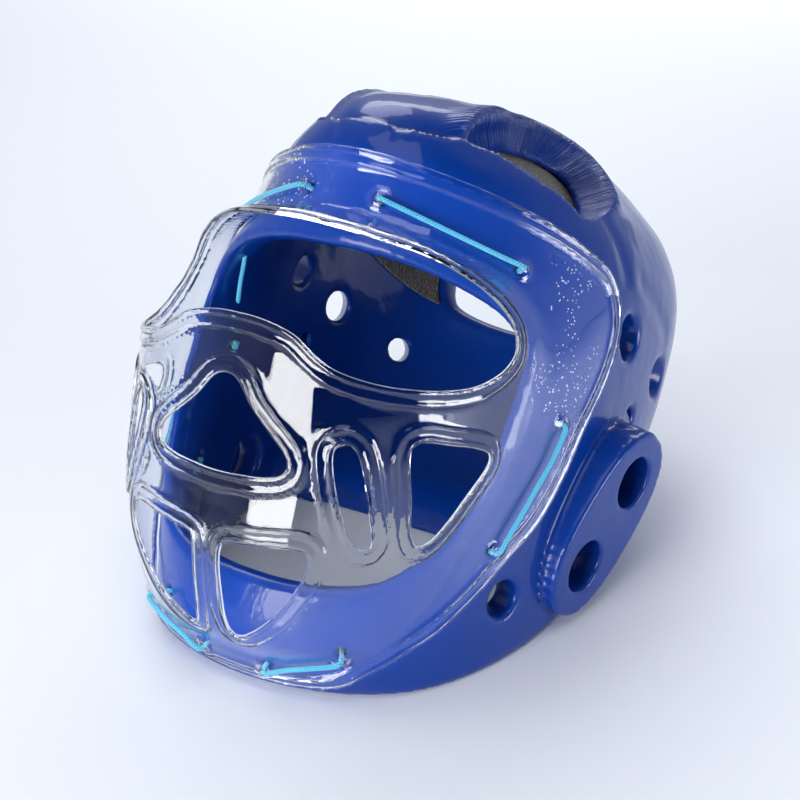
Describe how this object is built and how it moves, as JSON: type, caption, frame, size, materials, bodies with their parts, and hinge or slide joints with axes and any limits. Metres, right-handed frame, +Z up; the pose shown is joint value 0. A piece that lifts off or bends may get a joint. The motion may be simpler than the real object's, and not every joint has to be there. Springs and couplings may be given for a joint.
{
  "type": "martial arts head guard",
  "caption": "Closed foam head guard with a clear moulded face shield tied on by elastic laces, ear pads with holes, crown vents and a cloth crown liner.",
  "frame": {"origin": "middle of the foot of the object's box, on the surface it rests on", "axes": "+X to the wearer's left, +Y to the back of the head, +Z up, with the guard resting on its lower rim"},
  "size_m": [0.2456, 0.343, 0.2283],
  "materials": {
    "dipped_foam": "glossy vinyl dip over closed-cell foam",
    "clear_shield": "clear thermoformed plastic sheet",
    "elastic_cord": "round elastic cord with a woven cover",
    "liner_cloth": "plain woven cloth"
  },
  "bodies": {
    "root": {"foam_shell": "dipped_foam", "ear_pad_left": "dipped_foam", "ear_pad_right": "dipped_foam", "face_shield": "clear_shield", "brow_lace_left": "elastic_cord", "brow_lace_right": "elastic_cord", "cheek_lace_left": "elastic_cord", "cheek_lace_right": "elastic_cord", "chin_lace_left": "elastic_cord", "chin_lace_right": "elastic_cord", "crown_liner": "liner_cloth"}
  },
  "joints": []
}
